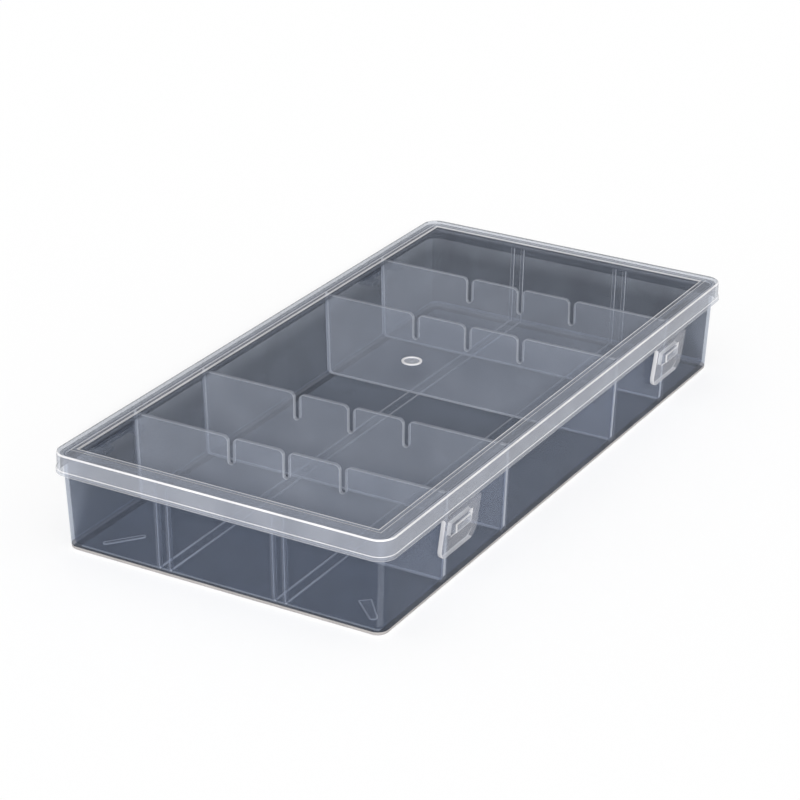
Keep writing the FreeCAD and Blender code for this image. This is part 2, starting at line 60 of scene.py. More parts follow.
# The sRGB curve: where its straight foot ends, the foot's slope, the shift and the power
SRGB_FOOT, SRGB_SLOPE, SRGB_SHIFT, SRGB_POWER = 0.04045, 12.92, 0.055, 2.4
# The colour sockets of a Mix node
MIX_FIRST, MIX_SECOND, MIX_RESULT = 6, 7, 2
# Where the four partitions stand along the box, and how thick and high they are
CELL = 58.74
PARTITION_X = tuple(step * CELL for step in (-2, -1, 1, 2))
PARTITION_SHEET = 2.2
PARTITION_TOP = 46.95
# Where the clasps and their catches stand along the front
CLASP_X = 112.6


def metres(point: Point) -> Vector:
    """Turns a point in millimetres to metres."""
    return Vector(point) * MM


def radians(turn: Point) -> list[float]:
    """Turns three angles in degrees to radians."""
    return [math.radians(angle) for angle in turn]


def linear(code: str, share: float = 1.0) -> tuple[float, float, float, float]:
    """Turns an sRGB hex value to the linear colour that shaders take.

    Args:
        code: six hex digits, red first.
        share: how much of the colour's light is kept.

    Returns:
        Linear red, green, blue and full alpha.
    """
    parts = [int(code[place:place + 2], 16) / 255 for place in (0, 2, 4)]
    curve = [part / SRGB_SLOPE if part <= SRGB_FOOT
             else ((part + SRGB_SHIFT) / (1 + SRGB_SHIFT)) ** SRGB_POWER for part in parts]
    return (*(share * part for part in curve), 1.0)


def add_node(tree: bpy.types.NodeTree, kind: str, settings: dict | None = None,
             inputs: dict | None = None) -> bpy.types.Node:
    """Adds a node, sets its properties and fills its inputs.

    Args:
        tree: the material's node tree.
        kind: the node's type name.
        settings: properties of the node by name.
        inputs: values or output sockets by input name or place.

    Returns:
        The new node.
    """
    node = tree.nodes.new(kind)
    for name, value in (settings or {}).items():
        setattr(node, name, value)
    for name, value in (inputs or {}).items():
        if isinstance(value, bpy.types.NodeSocket):
            tree.links.new(value, node.inputs[name])
        else:
            node.inputs[name].default_value = value
    return node


@dataclass(frozen=True)
class ClearPlastic:
    """Injection-moulded polypropylene: a smoky see-through sheet with a soft gloss and faint flow clouds.

    The cover is the share of light that a sheet stops when it is seen square on, and the slant cover when it
    is seen edge on. Each swing is how far the clouds take a value up and down.
    """

    name: str
    colour: str
    cover: float
    slant_cover: float
    cover_swing: float = 0.12
    colour_swing: float = 0.15
    slant_blend: float = 0.15
    roughness: float = 0.22
    roughness_swing: float = 0.2
    ior: float = 1.49
    tint: str = "FAFCFF"
    cloud_mm: float = 22.0
    cloud_detail: float = 3.0
    cloud_span: Span = (0.3, 0.7)
    wave_mm: float = 30.0
    wave_detail: float = 1.0
    wave_height: float = 0.06
    wave_strength: float = 0.5

    def material(self) -> bpy.types.Material:
        """Builds the node material.

        Returns:
            The material, ready for a piece's slot.
        """
        material = bpy.data.materials.new(self.name)
        material.use_nodes = True
        tree = material.node_tree
        tree.nodes.clear()
        place = add_node(tree, "ShaderNodeTexCoord").outputs["Object"]
        # Flow clouds: the melt sets a little denser and paler in some places than in others
        clouds = add_node(tree, "ShaderNodeTexNoise", inputs={
            "Vector": place, "Scale": 1 / (self.cloud_mm * MM), "Detail": self.cloud_detail}).outputs["Fac"]
        haze = add_node(tree, "ShaderNodeMapRange", inputs={
            "Value": clouds, "From Min": self.cloud_span[0], "From Max": self.cloud_span[1],
            "To Min": self.cover * (1 - self.cover_swing), "To Max": self.cover * (1 + self.cover_swing)})
        shade = add_node(tree, "ShaderNodeMix", {"data_type": "RGBA"}, {
            0: clouds, MIX_FIRST: linear(self.colour, 1 - self.colour_swing),
            MIX_SECOND: linear(self.colour, 1 + self.colour_swing)})
        # A slanting look passes through more plastic, so the sheet seems denser
        slant = add_node(tree, "ShaderNodeLayerWeight", inputs={"Blend": self.slant_blend})
        cover = add_node(tree, "ShaderNodeMapRange", inputs={
            "Value": slant.outputs["Facing"], "To Min": haze.outputs["Result"], "To Max": self.slant_cover})
        # Polished mould: the gloss varies with the clouds, and shrinkage leaves long soft waves
        gloss = add_node(tree, "ShaderNodeMapRange", inputs={
            "Value": clouds, "To Min": self.roughness * (1 - self.roughness_swing),
            "To Max": self.roughness * (1 + self.roughness_swing)})
        waves = add_node(tree, "ShaderNodeTexNoise", inputs={
            "Vector": place, "Scale": 1 / (self.wave_mm * MM), "Detail": self.wave_detail})
        bump = add_node(tree, "ShaderNodeBump", inputs={
            "Strength": self.wave_strength, "Distance": self.wave_height * MM,
            "Height": waves.outputs["Fac"]})
        skin = add_node(tree, "ShaderNodeBsdfPrincipled", inputs={
            "Base Color": shade.outputs[MIX_RESULT], "Roughness": gloss.outputs["Result"], "IOR": self.ior,
            "Normal": bump.outputs["Normal"]})
        clear = add_node(tree, "ShaderNodeBsdfTransparent", inputs={"Color": linear(self.tint)})
        both = add_node(tree, "ShaderNodeMixShader", inputs={
            0: cover.outputs["Result"], 1: clear.outputs["BSDF"], 2: skin.outputs["BSDF"]})
        add_node(tree, "ShaderNodeOutputMaterial", inputs={"Surface": both.outputs["Shader"]})
        return material


class Finish(Enum):
    """The finishes: one plastic, denser and paler where thick or edge on, with painted highlights and shade.
    """

    # Tray walls: a cool smoke that deepens with each sheet behind it
    WALL = ClearPlastic("moulded polypropylene tray wall", "3A3E46", 0.25, 0.30, tint="F2F6FD")
    # Floor: a greyer and milkier smoke over whatever the box stands on
    FLOOR = ClearPlastic("moulded polypropylene tray floor", "6E727B", 0.36, 0.62)
    # Lid panel: the clearest sheet, a thin grey veil
    LID = ClearPlastic("moulded polypropylene lid sheet", "4C4F56", 0.14, 0.40)
    # Lid border: a pale veil round the panel, its paleness a painted sheen
    BORDER = ClearPlastic("moulded polypropylene lid border painted sheen", "9C9EA4", 0.17, 0.52)
    # Skirt and catches: pale, and solid to the eye at a slant
    SKIRT = ClearPlastic("moulded polypropylene lid skirt", "A8AAB0", 0.215, 1.0)
    # Partitions and floor marks: milky sheets that stand out from the smoke
    PLATE = ClearPlastic("moulded polypropylene partition", "D4D3D5", 0.20, 0.45)
    # Clasps and hinge tubes: thin and nearly clear, so the painted highlights on their edges draw them
    CLASP = ClearPlastic("moulded polypropylene clasp", "BCBABB", 0.10, 0.40)
    # Ribs and seats: faint pale bands; on the inner corners the same bands are painted highlights
    RIB = ClearPlastic("moulded polypropylene rib", "B4B3B5", 0.12, 0.40)
    # Rounded edges: painted highlights, soft white lines
    STEP = ClearPlastic("moulded polypropylene soft painted highlight", "E4E2E2", 0.40, 0.70)
    # Cut edges of thick plastic: painted highlights, white lines, nearly solid; the hinge pins take it all
    # over
    RIM = ClearPlastic("moulded polypropylene painted edge highlight", "EAE8E7", 0.66, 0.90)
    # Edges of the lid: painted highlights, the brightest lines, where the light gathers
    EDGE = ClearPlastic("moulded polypropylene painted bright highlight", "F0EEEE", 0.56, 0.88)
    # Foot of the walls: a painted highlight, the floor's edge as a warm pale band
    FOOT = ClearPlastic("moulded polypropylene tray foot painted highlight", "A39F9D", 0.70, 0.85)
    # Far skirts and the back wall, from inside: painted shade, a deep smoke
    DEEP = ClearPlastic("moulded polypropylene painted far shade", "363A42", 0.46, 0.62)
    # Far end wall, from inside, and the far edges of the lid: painted shade, the deepest smoke
    SHADE = ClearPlastic("moulded polypropylene painted deepest shade", "363A42", 0.60, 0.72)
    # Ring under the walls: painted shade, dark where wall and floor meet
    BASE = ClearPlastic("moulded polypropylene tray base painted shade", "3C3F46", 0.74, 0.85)

    def made(self) -> bpy.types.Material:
        """Gives this finish's material, made once."""
        return bpy.data.materials.get(self.value.name) or self.value.material()


class Pick(Enum):
    """What an edit-mode selection is made of."""

    FACES = "FACE"
    EDGES = "EDGE"
    CORNERS = "VERT"


class Bench:
    """A piece on the bench: a primitive that is shaped in edit mode, with lengths in millimetres.

    Every step gives the bench back, so that steps follow each other in a row.
    """

    flat_angle: float = 0.5
    sharp_angle: float = 40.0
    smooth_angle: float = 35.0
    soft_steps: int = 2

    def __init__(self, name: str) -> None:
        """Clears the bench for a new piece.

        Args:
            name: the piece's name.
        """
        bpy.ops.object.select_all(action="DESELECT")
        self.name = name
        self.piece: Piece | None = None
        self.finishes: list[Finish] = []

    def _take(self, scale: Point = (1, 1, 1)) -> "Bench":
        """Takes the new primitive in hand, with its place and size in its mesh.

        Args:
            scale: how far the primitive is drawn out along each axis.

        Returns:
            The bench, in edit mode.
        """
        self.piece = bpy.context.object
        self.piece.name = self.piece.data.name = self.name
        self.piece.scale = scale
        bpy.ops.object.transform_apply(location=True, rotation=True, scale=True)
        bpy.ops.object.mode_set(mode="EDIT")
        return self

    def block(self, low: Point, high: Point) -> "Bench":
        """Starts from a cube between its lowest and its highest corner."""
        bpy.ops.mesh.primitive_cube_add(size=1, location=(metres(low) + metres(high)) / 2)
        return self._take(metres(high) - metres(low))

    def panel(self, centre: Point, size: Span, turn: Point) -> "Bench":
        """Starts from a plane with its middle at a point, turned by angles in degrees."""
        bpy.ops.mesh.primitive_plane_add(size=1, location=metres(centre), rotation=radians(turn))
        return self._take((size[0] * MM, size[1] * MM, 1))

    def rod(self, centre: Point, radius: float, length: float, sides: int,
            turn: Point = (0, 0, 0)) -> "Bench":
        """Starts from a cylinder with its middle at a point, turned by angles in degrees."""
        bpy.ops.mesh.primitive_cylinder_add(vertices=sides, radius=radius * MM, depth=length * MM,
                                            location=metres(centre), rotation=radians(turn))
        return self._take()

    def pick(self, kind: Pick, test: Callable[..., bool] = lambda item: True) -> "Bench":
        """Selects the faces, edges or corners that pass a test on their place or normal.

        Args:
            kind: what to select.
            test: takes a bmesh face, edge or vertex.

        Returns:
            The bench.

        Raises:
            ValueError: if nothing passes the test.
        """
        bpy.ops.mesh.select_mode(type=kind.value)
        bpy.ops.mesh.select_all(action="DESELECT")
        shape = bmesh.from_edit_mesh(self.piece.data)
        items = {Pick.FACES: shape.faces, Pick.EDGES: shape.edges, Pick.CORNERS: shape.verts}[kind]
        chosen = [item for item in items if test(item)]
        for item in chosen:
            item.select_set(True)
        shape.select_flush_mode()
        bmesh.update_edit_mesh(self.piece.data)
        if not chosen:
            raise ValueError(f"{self.name}: nothing was picked")
        return self

    def slot(self, finish: Finish | None) -> int:
        """Gives the material slot of a finish, or -1 for that of the faces around."""
        return -1 if finish is None else self.finishes.index(finish)

    def bevel(self, radius: float, steps: int, finish: Finish | None = None,
              corners: bool = False) -> "Bench":
        """Rounds the selected edges, or corners of a flat sheet, with the new faces in a finish."""
        bpy.ops.mesh.bevel(offset=radius * MM, segments=steps, clamp_overlap=True,
                           material=self.slot(finish), affect="VERTICES" if corners else "EDGES")
        return self

    def inset(self, width: float) -> "Bench":
        """Insets the selected faces."""
        bpy.ops.mesh.inset(thickness=width * MM)
        return self

    def extrude(self, step: Point) -> "Bench":
        """Extrudes the selection by a step."""
        bpy.ops.mesh.extrude_region_move(TRANSFORM_OT_translate={"value": metres(step)})
        return self

    def move(self, step: Point) -> "Bench":
        """Moves the selection by a step."""
        bpy.ops.transform.translate(value=metres(step))
        return self

    def resize(self, shares: Point, centre: Point = (0, 0, 0)) -> "Bench":
        """Resizes the selection about a point."""
        bpy.ops.transform.resize(value=shares, center_override=metres(centre))
        return self

    def cut(self, point: Point, normal: Point) -> "Bench":
        """Cuts the whole mesh along a plane and keeps both sides.

        Args:
            point: a point of the plane.
            normal: the plane's normal.

        Returns:
            The bench.
        """
        bpy.ops.mesh.select_all(action="SELECT")
        bpy.ops.mesh.bisect(plane_co=metres(point), plane_no=normal)
        return self

    def delete(self) -> "Bench":
        """Deletes the selected faces."""
        bpy.ops.mesh.delete(type="FACE")
        return self

    def bridge(self) -> "Bench":
        """Joins two selected loops of edges with faces."""
        bpy.ops.mesh.bridge_edge_loops()
        return self

    def merge(self) -> "Bench":
        """Dissolves the lines that cross flat faces.

        Returns:
            The bench.
        """
        bpy.ops.mesh.select_all(action="SELECT")
        bpy.ops.mesh.dissolve_limited(angle_limit=math.radians(self.flat_angle))
        return self

    def outward(self) -> "Bench":
        """Merges doubles, removes slivers and turns all faces outwards.

        Returns:
            The bench, with everything selected.
        """
        bpy.ops.mesh.select_all(action="SELECT")
        bpy.ops.mesh.remove_doubles(threshold=TINY * MM)
        bpy.ops.mesh.dissolve_degenerate(threshold=TINY * MM)
        bpy.ops.mesh.normals_make_consistent(inside=False)
        return self

    def modifier(self, kind: str, **settings: float | int | str | bool) -> "Bench":
        """Adds a modifier and applies it.

        Args:
            kind: the modifier's type.
            settings: its properties by name.

        Returns:
            The bench.
        """
        bpy.ops.object.mode_set(mode="OBJECT")
        added = self.piece.modifiers.new(kind.lower(), kind)
        for name, value in settings.items():
            setattr(added, name, value)
        bpy.ops.object.modifier_apply(modifier=added.name)
        bpy.ops.object.mode_set(mode="EDIT")
        return self

    def soften(self, width: float, finish: Finish | None = None) -> "Bench":
        """Rounds every sharp edge a little, with the new faces in a finish."""
        return self.modifier("BEVEL", width=width * MM, segments=self.soft_steps, limit_method="ANGLE",
                             angle_limit=math.radians(self.sharp_angle), material=self.slot(finish),
                             use_clamp_overlap=True)

    def dress(self, *finishes: Finish) -> "Bench":
        """Gives the piece its material slots.

        Args:
            finishes: the finishes, the first one all over.

        Returns:
            The bench.
        """
        for finish in finishes:
            self.finishes.append(finish)
            self.piece.data.materials.append(finish.made())
        return self

    def paint(self, finish: Finish) -> "Bench":
        """Gives the selected faces one of the piece's finishes.

        Args:
            finish: the finish.

        Returns:
            The bench.
        """
        self.piece.active_material_index = self.slot(finish)
        bpy.ops.object.material_slot_assign()
        return self

    def place(self, centre: Point, turn: Point) -> "Bench":
        """Turns the whole piece about the origin, then moves it to its place.

        Args:
            centre: where the origin goes.
            turn: its angles in degrees.

        Returns:
            The bench.
        """
        bpy.ops.object.mode_set(mode="OBJECT")
        self.piece.rotation_euler = radians(turn)
        self.piece.location = metres(centre)
        bpy.ops.object.transform_apply(location=True, rotation=True, scale=True)
        bpy.ops.object.mode_set(mode="EDIT")
        return self

    def bore(self, width: float) -> "Bench":
        """Opens a rod that lies along X into a tube.

        Args:
            width: the thickness of the tube's wall.

        Returns:
            The bench.
        """
        self.pick(Pick.FACES, lambda face: abs(face.normal.x) > MOST).inset(width).delete()
        self.pick(Pick.EDGES, lambda edge: edge.is_boundary)
        return self.bridge()

    def done(self) -> Piece:
        """Leaves edit mode and shades the piece smooth up to its edges.

        Returns:
            The finished mesh.
        """
        bpy.ops.object.mode_set(mode="OBJECT")
        bpy.ops.object.shade_smooth_by_angle(angle=math.radians(self.smooth_angle))
        return self.piece


def joined(name: str, parts: list[Piece]) -> Piece:
    """Joins meshes into one piece.

    Args:
        name: the piece's name.
        parts: the meshes, the first of which takes in the others.

    Returns:
        The joined piece.
    """
    bpy.ops.object.select_all(action="DESELECT")
    for part in parts:
        part.select_set(True)
    bpy.context.view_layer.objects.active = parts[0]
    bpy.ops.object.join()
    parts[0].name = parts[0].data.name = name
    return parts[0]


def copied(piece: Piece, name: str, step: Point) -> Piece:
    """Copies a piece with its own mesh and moves the copy's mesh.

    Args:
        piece: the piece to copy.
        name: the copy's name.
        step: how far the copy moves, in millimetres.

    Returns:
        The copy.
    """
    bpy.ops.object.select_all(action="DESELECT")
    piece.select_set(True)
    bpy.context.view_layer.objects.active = piece
    bpy.ops.object.duplicate(linked=False)
    copy = bpy.context.object
    copy.name = copy.data.name = name
    copy.location = metres(step)
    bpy.ops.object.transform_apply(location=True, rotation=False, scale=False)
    return copy


def spread(piece: Piece, name: str, steps: list[Point]) -> Piece:
    """Copies a piece to its places, joins the copies and removes the piece.

    Args:
        piece: the piece to copy.
        name: the joined piece's name.
        steps: how far each copy moves, in millimetres.

    Returns:
        The joined copies.
    """
    copies = [copied(piece, f"{name}_copy", step) for step in steps]
    bpy.data.objects.remove(piece)
    return joined(name, copies)


def settle(piece: Piece, body: str, slot: str, *nodes: str) -> None:
    """Lets a finished piece ride on its body and stand for its nodes.

    Args:
        piece: the finished piece.
        body: the body that it moves with.
        slot: the record's material slot; not used.
        nodes: the solids that it stands for.
    """
    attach(piece, body)
    if nodes:
        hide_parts(*nodes)
    LOG.info("%s rides on %s: %d faces", piece.name, body, len(piece.data.polygons))


def middle(item: bmesh.types.BMVert | bmesh.types.BMEdge | bmesh.types.BMFace) -> Vector:
    """Gives the middle of a corner, an edge or a face in millimetres."""
    corners = [item] if isinstance(item, bmesh.types.BMVert) else item.verts
    return sum((corner.co for corner in corners), Vector()) / len(corners) / MM


def rise(edge: bmesh.types.BMEdge) -> float:
    """Gives how far an edge climbs, in millimetres."""
    return abs(edge.verts[0].co.z - edge.verts[1].co.z) / MM


def looks_out(face: bmesh.types.BMFace) -> bool:
    """Tells if a face looks away from the middle of the box."""
    return face.normal.xy.dot(middle(face).xy) > 0


def crest(edge: bmesh.types.BMEdge, level: float, outside: bool) -> bool:
    """Tells if an edge is a level, convex edge of a wall.

    Args:
        edge: the edge.
        level: the edge's height in millimetres.
        outside: whether the wall's face there looks away from the middle of the box.

    Returns:
        True if it is.
    """
    if rise(edge) > TINY or abs(middle(edge).z - level) > TINY or not edge.is_convex:
        return False
    upright = min(edge.link_faces, key=lambda face: abs(face.normal.z))
    return abs(upright.normal.z) < SOME and looks_out(upright) == outside


def within(place: float, strips: list[Span]) -> bool:
    """Tells if a place lies in one of some strips."""
    return any(start < place < stop for start, stop in strips)


@dataclass(frozen=True)
class Hinge:
    """The two hinges at the back, whose line and tubes the tray and the lid share."""

    x: float = 125.0
    y: float = 92.8
    z: float = 36.0
    radius: float = 2.8
    sides: int = 40
    edge_round: float = 0.3

    def tube(self, name: str, length: float, bore: float, root: float, above: bool) -> Bench:
        """Models a tube on the hinge's line, with a web drawn out of it to a wall.

        Args:
            name: the piece's name.
            length: the tube's length.
            bore: the radius of its bore.
            root: where the web ends, across the box.
            above: whether the web leaves the upper half of the tube, or the lower one.

        Returns:
            The bench with the tube.
        """
        bench = Bench(name).rod((0, self.y, self.z), self.radius, length, self.sides, FACE_X)
        bench.dress(Finish.CLASP, Finish.RIM).bore(self.radius - bore)
        bench.pick(Pick.FACES, lambda face: abs(face.normal.x) < FAINT and face.normal.y < 0
                   and middle(face).y < self.y - bore and (middle(face).z > self.z) == above)
        return bench.extrude((0, -self.radius, 0)).resize((1, 0, 1), (0, root, 0))


HINGE = Hinge()


@dataclass
class Tray:
    """The tray: tapered walls round a flat floor, with ribs, rails, seats, marks, catches and ears."""

    rim_x: float = 177.1
    rim_y: float = 86.7
    height: float = 48.2
    slope: float = math.tan(math.radians(2.09))
    wall: float = 1.7
    floor: float = 1.8
    corner: float = 5.5
    corner_steps: int = 8
    foot_round: float = 0.8
    foot_steps: int = 3
    base_ring: float = 4.5
    floor_round: float = 2.0
    floor_steps: int = 5
    rim_round: float = 0.4
    corner_band: float = 0.4
    edge_steps: int = 2
    guide_y: float = 31.0
    guide_shift: float = 2.95
    guide_width: float = 2.1
    guide_depth: float = 1.4
    guide_top: float = 45.4
    guide_round: float = 0.25
    line: float = 0.5
    sunk: float = 0.1
    rail_width: float = 0.9
    rail_rise: float = 0.8
    rail_gap: float = 1.3
    rail_round: float = 0.3
    seat_shift: float = 1.65
    seat_width: float = 0.8
    seat_depth: float = 1.0
    seat_round: float = 0.2
    mark_rise: float = 0.4
    mark_line: float = 0.8
    mark_steps: int = 6
    mark_round: float = 0.48
    mark_root_round: float = 0.2
    bar: Point = (-158.3, 64.2, -38.0)
    bar_size: Span = (21.0, 3.0)
    tongue: Point = (-158.8, -68.8, 223.0)
    tongue_size: Span = (18.8, 6.6)
    tongue_tip: float = 4.0
    catch_half: float = 7.2
    catch_foot: float = 28.8
    catch_top: float = 33.4
    catch_face: float = -91.25
    catch_round: float = 0.6
    catch_steps: int = 3
    ear_bore: float = 1.21
    ear_length: float = 7.0
    ear_shift: float = 13.5
    ear_root: float = 85.3

    def inner(self, span: float, height: float) -> float:
        """Gives half the inner length or width at a height, from half of it at the rim's outside."""
        return span - (self.height - height) * self.slope - self.wall

    def rib_places(self) -> list[float]:
        """Gives where the rib pairs and the floor rails lie across the box."""
        return [side * self.guide_y + shift * self.guide_shift for side in SIDES for shift in SIDES]

    def strips(self) -> tuple[list[Span], list[Span]]:
        """Places the pale lines of the walls.

        Returns:
            Starts and stops along X of the partitions' seats, and along Y of the ribs' edges.
        """
        seats = [(place - PARTITION_SHEET / 2, place + PARTITION_SHEET / 2) for place in PARTITION_X]
        half = self.guide_width / 2 - self.line / 2
        middles = [place + edge * half for place in self.rib_places() for edge in SIDES]
        return seats, [(place - self.line / 2, place + self.line / 2) for place in middles]

    def moulding(self) -> Piece:
        """Models the shell: a tapered block with rounded corners, hollowed from its rim.

        Returns:
            The shell.
        """
        rim = (self.rim_x, self.rim_y)
        foot = [(span - self.height * self.slope) / span for span in rim]
        deep = [self.inner(span, self.floor) / (span - self.wall) for span in rim]
        bench = Bench("tray_moulding").block((-rim[0], -rim[1], 0), (*rim, self.height))
        bench.dress(Finish.WALL, Finish.FLOOR, Finish.RIM, Finish.RIB, Finish.FOOT, Finish.BASE,
                    Finish.SHADE, Finish.DEEP)
        bench.pick(Pick.CORNERS, lambda corner: middle(corner).z < TINY).resize((*foot, 1))
        bench.pick(Pick.EDGES, lambda edge: rise(edge) > self.height - TINY)
        bench.bevel(self.corner, self.corner_steps)
        for strips, axis in zip(self.strips(), (X_AXIS, Y_AXIS)):
            for place in [end for strip in strips for end in strip]:
                bench.cut(tuple(place * part for part in axis), axis)
        bench.cut((0, 0, self.floor), Z_AXIS)
        bench.pick(Pick.FACES, lambda face: face.normal.z > MOST).inset(self.wall)
        bench.extrude((0, 0, self.floor - self.height)).resize((*deep, 1))
        self.paint_shell(bench)
        # The foot's rounding gets a painted highlight, a warm pale band
        bench.pick(Pick.EDGES, lambda edge: crest(edge, 0, True))
        bench.bevel(self.foot_round, self.foot_steps, Finish.FOOT)
        bench.pick(Pick.EDGES, lambda edge: abs(middle(edge).z - self.floor) < TINY and rise(edge) < TINY
                   and edge.calc_face_angle(0) > math.radians(bench.sharp_angle))
        bench.bevel(self.floor_round, self.floor_steps, Finish.WALL)
        # The rim's rounded edges get painted highlights
        for outside in (True, False):
            bench.pick(Pick.EDGES, lambda edge: crest(edge, self.height, outside))
            bench.bevel(self.rim_round, self.edge_steps, Finish.RIM)
        return bench.done()

    def paint_shell(self, bench: Bench) -> None:
        """Paints the shell, with its painted shade and painted highlight lines, before its edges are
        rounded.

        Args:
            bench: the bench with the shell.
        """
        seats, lines = self.strips()
        bench.pick(Pick.FACES, lambda face: abs(face.normal.z) > ALL and middle(face).z < self.height / 2)
        bench.paint(Finish.FLOOR)
        # Where wall and floor meet, a ring under the walls gets painted shade
        bench.pick(Pick.FACES, lambda face: face.normal.z < -MOST).paint(Finish.BASE)
        bench.inset(self.base_ring).paint(Finish.FLOOR)
        # The inner faces of the walls away from the light get painted shade
        bench.pick(Pick.FACES, lambda face: face.normal.y < -MOST and not looks_out(face))
        bench.paint(Finish.DEEP)
        bench.pick(Pick.FACES, lambda face: face.normal.x < -SOME and abs(face.normal.z) < LITTLE
                   and not looks_out(face)).paint(Finish.SHADE)
        # The inner corners get painted highlights: pale bands where their rounding is seen edge on
        bench.pick(Pick.FACES, lambda face: abs(face.normal.z) < LITTLE and not looks_out(face)
                   and min(face.normal.x, abs(face.normal.y)) > self.corner_band).paint(Finish.RIB)
        # The floor's edge and the feet of the ribs and seats get painted highlights: pale lines through the
        # wall
        bench.pick(Pick.FACES, lambda face: abs(face.normal.z) < LITTLE and middle(face).z < self.floor)
        bench.paint(Finish.FOOT)
        bench.pick(Pick.FACES, lambda face: abs(face.normal.z) < LITTLE and not looks_out(face)
                   and (abs(face.normal.y) > MOST and within(middle(face).x, seats)
                        or abs(face.normal.x) > MOST and within(middle(face).y, lines))).paint(Finish.RIM)

    def fin(self, low: Point, high: Point, lean: Point, line: float, *finishes: Finish) -> Piece:
        """Models a rib whose top leans with the wall.

        Args:
            low: lowest corner at the floor.
            high: highest corner before it leans.
            lean: how far its top moves out.
            line: width of its rounded edges.
            finishes: the rib's finish and that of its edges.

        Returns:
            The rib.
        """
        bench = Bench("fin").block(low, high).dress(*finishes)
        root = (Vector(low).xy + Vector(high).xy).length / 2 + max(map(abs, lean[:2])) / 2
        bench.pick(Pick.CORNERS, lambda corner: middle(corner).z > high[2] - TINY).move(lean)
        # Its upright inner edges take the last finish, a painted highlight line on the guide ribs
        bench.pick(Pick.EDGES, lambda edge: rise(edge) > self.floor and middle(edge).xy.length < root)
        bench.bevel(line, self.edge_steps, finishes[-1])
        bench.pick(Pick.EDGES, lambda edge: middle(edge).z > high[2] - TINY)
        bench.bevel(line / 2, self.edge_steps)
        return bench.done()

    def guides(self) -> Piece:
        """Models the rib pairs of the end walls: one rib for each end, copied to its places.

        Returns:
            The ribs.
        """
        foot = self.inner(self.rim_x, self.floor)
        lean = (self.guide_top - self.floor) * self.slope
        half = self.guide_width / 2
        places = [(0, place, 0) for place in self.rib_places()]
        ribs = []
        for end in SIDES:
            near, far = sorted((end * (foot - self.guide_depth), end * (foot + self.wall / 4)))
            rib = self.fin((near, -half, self.floor), (far, half, self.guide_top), (end * lean, 0, 0),
                           self.guide_round, Finish.RIB, Finish.RIM)
            ribs.append(spread(rib, f"guide_ribs_{end}", places))
        return joined("tray_guide_ribs", ribs)

    def rails(self) -> Piece:
        """Models the floor rails: one for each compartment, copied to its places.

        Returns:
            The rails.
        """
        foot = self.inner(self.rim_x, self.floor) - self.floor_round / 4
        stops = [-foot, *PARTITION_X, foot]
        places = [(0, place, 0) for place in self.rib_places()]
        half = self.rail_width / 2
        rails = []
        for start, stop in zip(stops, stops[1:]):
            low = start + self.rail_gap * (start > -foot)
            high = stop - self.rail_gap * (stop < foot)
            bench = Bench("rail").block((low, -half, self.floor - self.sunk),
                                        (high, half, self.floor + self.rail_rise))
            # Each rail is a painted highlight line, the end rails the brightest
            bench.dress(Finish.RIM if foot in (-start, stop) else Finish.STEP).soften(self.rail_round)
            rails.append(spread(bench.done(), "rail_row", places))
        return joined("tray_floor_rails", rails)

    def seats(self) -> Piece:
        """Models the slim ribs that hold the ends of the partitions: one for each side, copied.

        Returns:
            The seats.
        """
        foot = self.inner(self.rim_y, self.floor)
        lean = (PARTITION_TOP - self.floor) * self.slope
        half = self.seat_width / 2
        places = [(place + shift * self.seat_shift, 0, 0) for place in PARTITION_X for shift in SIDES]
        seats = []
        for side in SIDES:
            near, far = sorted((side * (foot - self.seat_depth), side * (foot + self.wall / 4)))
            seat = self.fin((-half, near, self.floor), (half, far, PARTITION_TOP), (0, side * lean, 0),
                            self.seat_round, Finish.RIB)
            seats.append(spread(seat, f"seats_{side}", places))
        return joined("tray_seats", seats)

    def mark(self, size: Span, tip: float, spot: Point) -> Piece:
        """Models a low mark on the floor with a painted highlight as its pale outline.

        Args:
            size: its length and its width at the root.
            tip: its width at the tip.
            spot: its middle on the floor and its turn in degrees.

        Returns:
            The mark.
        """
        length, root = size
        bench = Bench("mark").block((-length / 2, -root / 2, -self.sunk),
                                    (length / 2, root / 2, self.mark_rise))
        bench.dress(Finish.PLATE, Finish.RIM)
        bench.pick(Pick.CORNERS, lambda corner: middle(corner).x > 0).resize((1, tip / root, 1))
        bench.pick(Pick.EDGES, lambda edge: rise(edge) > self.mark_rise and middle(edge).x > 0)
        bench.bevel(tip * self.mark_round, self.mark_steps)
        bench.pick(Pick.EDGES, lambda edge: rise(edge) > self.mark_rise
                   and middle(edge).x < TINY - length / 2)
        bench.bevel(tip * (self.mark_round if tip == root else self.mark_root_round), self.mark_steps)
        # Its sides and its outline get a painted highlight
        bench.pick(Pick.FACES, lambda face: abs(face.normal.z) < HALF).paint(Finish.RIM)
        bench.pick(Pick.FACES, lambda face: face.normal.z > HALF).inset(self.mark_line)
        bench.extrude((0, 0, -self.mark_rise / 2))
        bench.pick(Pick.FACES, lambda face: face.normal.z > HALF and middle(face).z > self.mark_rise - TINY)
        bench.paint(Finish.RIM)
        return bench.place((spot[0], spot[1], self.floor), (0, 0, spot[2])).done()

    def catches(self) -> Piece:
        """Models the catches that stand out through the windows of the clasps.

        Returns:
            The catches.
        """
        root = -(self.inner(self.rim_y, self.catch_foot) + self.wall / 2)
        bench = Bench("catch").block((-self.catch_half, self.catch_face, self.catch_foot),
                                     (self.catch_half, root, self.catch_top))
        bench.dress(Finish.SKIRT, Finish.STEP)
        # The catch's front edges get a soft painted highlight
        bench.pick(Pick.EDGES, lambda edge: middle(edge).y < self.catch_face + TINY)
        bench.bevel(self.catch_round, self.catch_steps, Finish.STEP)
        return spread(bench.done(), "tray_catches", [(side * CLASP_X, 0, 0) for side in SIDES])

